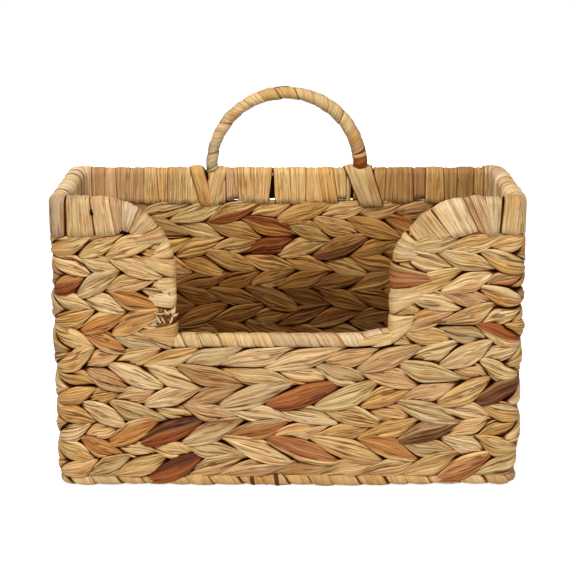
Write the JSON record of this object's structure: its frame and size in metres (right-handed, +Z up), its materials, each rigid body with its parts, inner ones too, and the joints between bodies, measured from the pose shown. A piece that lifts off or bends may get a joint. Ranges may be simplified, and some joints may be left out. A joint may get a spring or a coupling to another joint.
{
  "type": "wall basket",
  "caption": "Rectangular wall basket of twined leaf strands on a wire frame, with a dipped front, leaf-wrapped rim and a stiff wrapped hanging loop on the back rim.",
  "frame": {"origin": "middle of the footprint, on the surface that the basket stands on", "axes": "+X along the width, to the right as seen from the front; +Y towards the wall behind the basket; +Z up"},
  "size_m": [0.38, 0.14, 0.316],
  "materials": {
    "twined_leaf": "matt dried leaf, straw to pale tan with rust and grey strands",
    "shaded_leaf": "matt dried leaf, golden brown",
    "wrap_leaf": "satin flat leaf strip with fine lengthwise fibres",
    "wire": "bright drawn wire"
  },
  "bodies": {
    "root": {"band_wire": "wire", "base_weave_lower": "shaded_leaf", "base_weave_upper": "shaded_leaf", "base_wire": "wire", "bottom_edge_wrap": "twined_leaf", "cross_wire_01": "wire", "cross_wire_02": "wire", "cross_wire_03": "wire", "cross_wire_04": "wire", "cross_wire_05": "wire", "cross_wire_06": "wire", "cross_wire_07": "wire", "cross_wire_08": "wire", "cross_wire_09": "wire", "cross_wire_10": "wire", "cross_wire_11": "wire", "cross_wire_12": "wire", "long_wire_1": "wire", "long_wire_2": "wire", "long_wire_3": "wire", "long_wire_4": "wire", "loop_binding_left": "wrap_leaf", "loop_binding_right": "wrap_leaf", "loop_padding": "wrap_leaf", "loop_strip": "wrap_leaf", "loop_wire": "wire", "rim_wire": "wire", "rim_wrap_back_left": "shaded_leaf", "rim_wrap_back_mid_left": "wrap_leaf", "rim_wrap_back_mid_right": "wrap_leaf", "rim_wrap_back_right": "wrap_leaf", "rim_wrap_left": "wrap_leaf", "rim_wrap_left_shoulder": "wrap_leaf", "rim_wrap_right": "wrap_leaf", "rim_wrap_right_shoulder": "wrap_leaf", "sill_wrap": "wrap_leaf", "weave_row_01_inner": "shaded_leaf", "weave_row_01_outer": "twined_leaf", "weave_row_02_inner": "shaded_leaf", "weave_row_02_outer": "twined_leaf", "weave_row_03_inner": "shaded_leaf", "weave_row_03_outer": "twined_leaf", "weave_row_04_inner": "shaded_leaf", "weave_row_04_outer": "twined_leaf", "weave_row_05_inner": "shaded_leaf", "weave_row_05_outer": "twined_leaf", "weave_row_06_inner": "shaded_leaf", "weave_row_06_outer": "twined_leaf", "weave_row_07_inner": "shaded_leaf", "weave_row_07_outer": "twined_leaf", "weave_row_08": "twined_leaf", "weave_row_09": "twined_leaf", "weave_row_10": "twined_leaf", "weave_row_11": "twined_leaf", "weave_row_12": "twined_leaf", "weave_row_13": "twined_leaf"}
  },
  "joints": []
}
